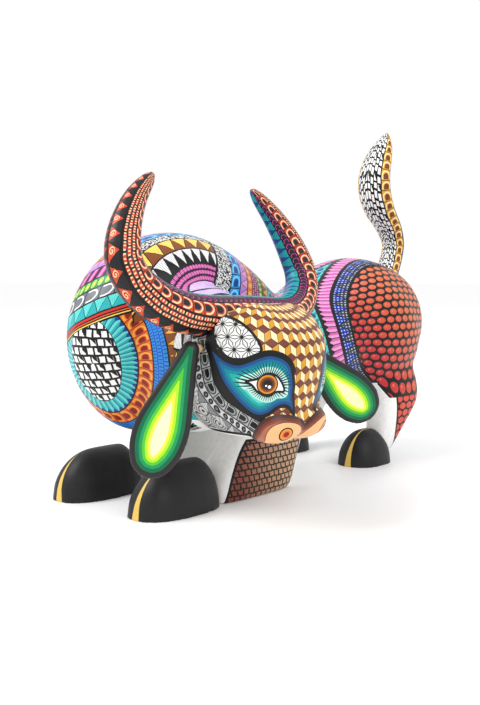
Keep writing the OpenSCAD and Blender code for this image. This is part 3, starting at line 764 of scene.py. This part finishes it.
# the crescent rolls a little about the middle of the poll
roll, poll_y, poll_z = math.radians(2.7), 20, 106
horn_line = [(x, poll_y + y * math.cos(roll) + (z - poll_z) * math.sin(roll),
              poll_z - y * math.sin(roll) + (z - poll_z) * math.cos(roll)) for x, y, z in horn_line]
along, offset, way = follow(bull_points(horns), horn_line, 400)
front = np.array([1.0, 0, 0]) - way * way[:, :1]
front /= np.linalg.norm(front, axis=1)[:, None]
inner = np.cross(front, way)
mark(horns, "horn", along, (offset * front).sum(1), (offset * inner).sum(1))
bench = Board("horn_paint")
along, front, inner = bench.marks("horn")
girth_all = 57.8
across = ((inner * -1).turn(front) - 0.5) * girth_all
CHAR = ink(0.012, 0.012, 0.014)
BRICK = ink(0.52, 0.055, 0.02)
BONE = ink(0.86, 0.62, 0.36)
horn_rows = band_stack(bench, across, [
    (6.4, BRICKS, CHAR, ink(0.10, 0.11, 0.14), GREY, 26),
    (12, TRIANGLES, ink(0.01, 0.06, 0.30), ink(0.01, 0.26, 0.28), TEAL, 16),
    (4.8, CHAIN, CHAR, CHAR, ink(0.52, 0.03, 0.28), 30), (6.6, CHAIN, BRICK, CHAR, BONE, 17),
    (6.8, BRICKS, CHAR, BRICK, BONE, 11), plain(0.8, CHAR), (6.2, CURLS, CHAR, BRICK, BONE, 14),
    (5.2, TRIANGLES, CHAR, ink(0.30, 0.035, 0.02), BRICK, 26),
    (9, SMEAR, ink(0.14, 0.010, 0.010), ink(0.03, 0.03, 0.035), ink(0.2, 0.2, 0.22), 10)], -girth_all / 2)
colour, ridge = paint_bands(bench, horn_rows, along / 100)
horns.data.materials.append(bench.varnish(colour, 0.38, ridge))

# ---------------------------------------------------------------------------------------------
# The ears: thin leaves with nested greens inside a charcoal rim. The backs are charcoal.
# ---------------------------------------------------------------------------------------------
ear_half = [(-3.6, 2), (-2, 3.8), (1, 4.6), (8, 6.1), (22, 9.6), (38, 13.2), (50, 12.9), (59, 9.4),
            (62.4, 6), (64, 2.6)]
ear_outline = [(w, t) for t, w in ear_half] + [(-w, t) for t, w in reversed(ear_half)]
ear_places = {"right": ((73, -17.8, 91), (65.3, -41.3, 31)), "left": ((79, 61, 87), (92.5, 108, 46.5))}
ear_faces = (0.66, -0.75, 0)
ear_rim = ink(0.018, 0.018, 0.018)
ear_greens = [(3.0, ink(0.0, 0.13, 0.05)), (4.8, ink(0.01, 0.27, 0.09)), (6.3, ink(0.08, 0.48, 0.03)),
              (7.7, ink(0.38, 0.76, 0.02)), (9.0, ink(0.86, 0.92, 0.05)), (10.2, ink(0.95, 0.93, 0.48))]
bench = Board("ear_paint")
depth, facing, _ = bench.marks("ear")
colour = ear_rim
depth = depth + bench.wobble * 0.25
for place, tone in ear_greens:
    colour = ((depth > place) & (facing > 0)).pick(colour, tone)
dots = bench.start.node("ShaderNodeTexVoronoi", {"feature": "F1"},
                        {"Vector": bench.place, "Scale": 330, "Randomness": 0.2})
colour = ((dots < 0.2) & (facing < 0) & (depth > 2.6)).pick(colour, ink(0.05, 0.36, 0.10))
ear_material = bench.varnish(colour, 0.42, depth * 0.02)
for side, (root, tip) in ear_places.items():
    ear = carved("painted_" + side + "_ear", side + "_ear", side + "_ear", 0.6, 4)
    root, tip = np.array(root), np.array(tip)
    ear_up = (root - tip) / np.linalg.norm(root - tip)
    ear_across = np.cross(ear_up, ear_faces)
    ear_across /= np.linalg.norm(ear_across)
    ear_front = np.cross(ear_across, ear_up)
    reach = bull_points(ear) - root
    normals = np.zeros(len(ear.data.vertices) * 3)
    ear.data.vertex_normals.foreach_get("vector", normals)
    mark(ear, "ear", outline_distance(reach @ ear_across, -(reach @ ear_up), ear_outline),
         normals.reshape(-1, 3) @ ear_front)
    ear.data.materials.append(ear_material)

# ---------------------------------------------------------------------------------------------
# The tail: a flattened S. White tiles on black cover the front, gold links the edges, and blue
# triangles the back.
# ---------------------------------------------------------------------------------------------
tail_line = [(0, 262.5, 121), (0, 269, 133), (0, 273, 146), (0, 267, 158), (0, 255, 170), (0, 248, 182),
             (0, 247, 195), (0, 252, 208), (0, 258, 218), (0, 263, 227)]
tail_root = bull_zero + Vector(tail_line[0]) * mm
root_kept = 11.5 * mm
tail = carved("painted_tail", "tail", "tail", 0.65, 6,
              lambda p: (p - tail_root).length > root_kept)
along, offset, way = follow(bull_points(tail), tail_line)
back = np.cross(way, (1.0, 0, 0))
mark(tail, "tail", along, np.abs(offset[:, 0]), (offset * back).sum(1))
bench = Board("tail_paint")
along, side, back = bench.marks("tail")
across = (side.turn(back * -1) - 0.5) * 69
tail_tiles = (5.6, QUADS, BLACK, WHITE, WHITE, 20)
tail_rows = band_stack(bench, across, [
    tail_tiles, tail_tiles,
    (6.6, CHAIN, ink(0.66, 0.34, 0.03), ink(0.16, 0.035, 0.01), ink(0.92, 0.72, 0.34), 15),
    (18, TRIANGLES, ink(0.01, 0.10, 0.38), ink(0.03, 0.32, 0.66), SKY, 20)], 0)
colour, ridge = paint_bands(bench, tail_rows, along / 100)
tail.data.materials.append(bench.varnish(colour, 0.36, ridge))

# ---------------------------------------------------------------------------------------------
# The legs: plain white inside. A brown mosaic covers the outside of each forearm, and a strip of
# red scales runs down the back of each hind leg, both edged in black.
# ---------------------------------------------------------------------------------------------
bench = Board("foreleg_paint")
x, y, z = abs(bench.x), bench.y, bench.z
panel = (y - 40.5 - z * 0.2 - z * z * 0.0085).low(x - 40).low(104 - y).low(34 - z)
course = (z / 3.5 + bench.wobble * 0.5)
tile = (y / 4.3 + course.whole() * 0.37 + z * 0.06 + bench.wobble * 0.7)
chip = (abs(course.cell() - 0.5) < 0.38) & (abs(tile.cell() - 0.5) < 0.36)
split = ((tile * 0.5).cell() < 0.3) & ((course.cell() + tile.cell()) > 1.25)
light_chip = ((y - 50) / 55).high(0).low(1)
chips = light_chip.pick(ink(0.20, 0.045, 0.025), ink(0.62, 0.40, 0.22))
colour = (panel > 0).pick(WHITE, BLACK)
colour = ((panel > 1.5) & chip & (1 - split)).pick(colour, chips)
foreleg_paint = bench.varnish(colour, 0.4, (panel > 1.5) & chip)
bench = Board("hindleg_paint")
x, y, z = abs(bench.x), bench.y, bench.z
strip = (y - 207.5 - (43 - z) * 0.08).low(x - 30)
hem = y - 206.5 - (z - 7) * 0.86
row = z / scale_high
turn = y / scale_wide + row.whole() * 0.5
scale = ((turn.cell() - 0.5) * scale_wide / 3.3).reach((row.cell() - 0.5) * scale_high / 2.15)
colour = (strip > -1.6).pick(WHITE, BLACK)
colour = ((strip > 0) & (scale < 1)).pick(colour, ink(0.66, 0.07, 0.04))
colour = (hem > -0.8).pick(colour, BLACK)
bead = ((z / 2.6).cell() - 0.5).reach((y / 2.6).cell() - 0.5) < 0.34
colour = ((hem > 0) & bead).pick(colour, ink(0.35, 0.62, 0.82))
hindleg_paint = bench.varnish(colour, 0.4, (strip > 0) & (scale < 1))
for name, leg in legs.items():
    leg.data.materials.append(foreleg_paint if name.startswith("front") else hindleg_paint)

# ---------------------------------------------------------------------------------------------
# The hooves: round domes in satin black, with the cleft drawn as a tapering stroke of gold.
# ---------------------------------------------------------------------------------------------
bench = Board("hoof_paint")
x, y, z = abs(bench.x), bench.y, bench.z
is_rear = y > 120
middle = is_rear.choose(31, 34) + z * 0.06
toe = is_rear.choose(y + toe_reach, y - 168)
stroke = (abs(x - middle + bench.wobble * 0.3) < (2.5 - z * 0.10)) & (toe < 26)
colour = stroke.pick(ink(0.011, 0.011, 0.012), ink(0.70, 0.46, 0.10))
hoof_paint = bench.varnish(colour, stroke.choose(0.48, 0.34), stroke * 0.4)
for name in ("front_left_hoof", "front_right_hoof", "rear_left_hoof", "rear_right_hoof"):
    hoof_block = block_copy([name], 0.8)
    sand(hoof_block, 6, lambda p: p.z > 0.0007)
    hoof = finished(hoof_block, "painted_" + name, "block", name)
    hoof.data.materials.append(hoof_paint)

# ---------------------------------------------------------------------------------------------
# The dowels: turned birch rods, left bare, with fine straight grain.
# ---------------------------------------------------------------------------------------------
bench = Board("bare_wood")
grain = bench.start.noise(90, 4, bench.start.node("ShaderNodeVectorMath", {"operation": "MULTIPLY"},
                                                  {0: bench.place, 1: (1, 1, 9)}))
colour = grain.pick(ink(0.55, 0.36, 0.19), ink(0.78, 0.60, 0.38))
wood = bench.varnish(colour, 0.6, grain)
for name in ("neck_dowel", "horn_dowels", "right_ear_peg", "left_ear_peg", "tail_peg", "leg_dowels",
             "hoof_dowels"):
    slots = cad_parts[name].data.materials
    for k in range(len(slots)):
        slots[k] = wood

# ---------------------------------------------------------------------------------------------
# The floor, the light and the camera: a pale table top under a wide soft window light.
# ---------------------------------------------------------------------------------------------
floor_mesh = bpy.data.meshes.new("table_top")
table = bmesh.new()
bmesh.ops.create_grid(table, x_segments=2, y_segments=2, size=6)
table.to_mesh(floor_mesh)
table.free()
floor = bpy.data.objects.new("table_top", floor_mesh)
bpy.context.scene.collection.objects.link(floor)
ground = bpy.data.materials.new("table_top")
ground.use_nodes = True
top = ground.node_tree.nodes["Principled BSDF"]
top.inputs["Base Color"].default_value = (0.97, 0.97, 0.97, 1)
top.inputs["Roughness"].default_value = 0.45
floor_mesh.materials.append(ground)

world = bpy.data.worlds.new("studio")
bpy.context.scene.world = world
world.use_nodes = True
surround = world.node_tree.nodes["Background"]
surround.inputs["Color"].default_value = (1, 1, 1, 1)
surround.inputs["Strength"].default_value = 1.0


def lamp(name, place, aim, size, watts):
    data = bpy.data.lights.new(name, "AREA")
    data.shape = "DISK"
    data.size = size
    data.energy = watts
    made = bpy.data.objects.new(name, data)
    made.location = place
    made.rotation_euler = (Vector(aim) - Vector(place)).to_track_quat("-Z", "Y").to_euler()
    bpy.context.scene.collection.objects.link(made)


lamp("window", (-0.5, -0.7, 1.1), (0, 0, 0.1), 0.8, 11)
lamp("fill", (1.0, -0.2, 0.9), (0, 0, 0.1), 0.9, 5)

camera_data = bpy.data.cameras.new("camera")
camera_data.lens = 50
camera_data.sensor_width = 36
camera = bpy.data.objects.new("camera", camera_data)
# the camera stands a little above the bull, in front of it and to its left
camera_at, camera_tilt, camera_turn = (397, -351, 130), 85, 41.3
camera.location = bull_zero + Vector(camera_at) * mm
camera.rotation_euler = (math.radians(camera_tilt), 0, math.radians(camera_turn))
bpy.context.scene.collection.objects.link(camera)
bpy.context.scene.camera = camera
bpy.context.scene.view_settings.view_transform = "Standard"
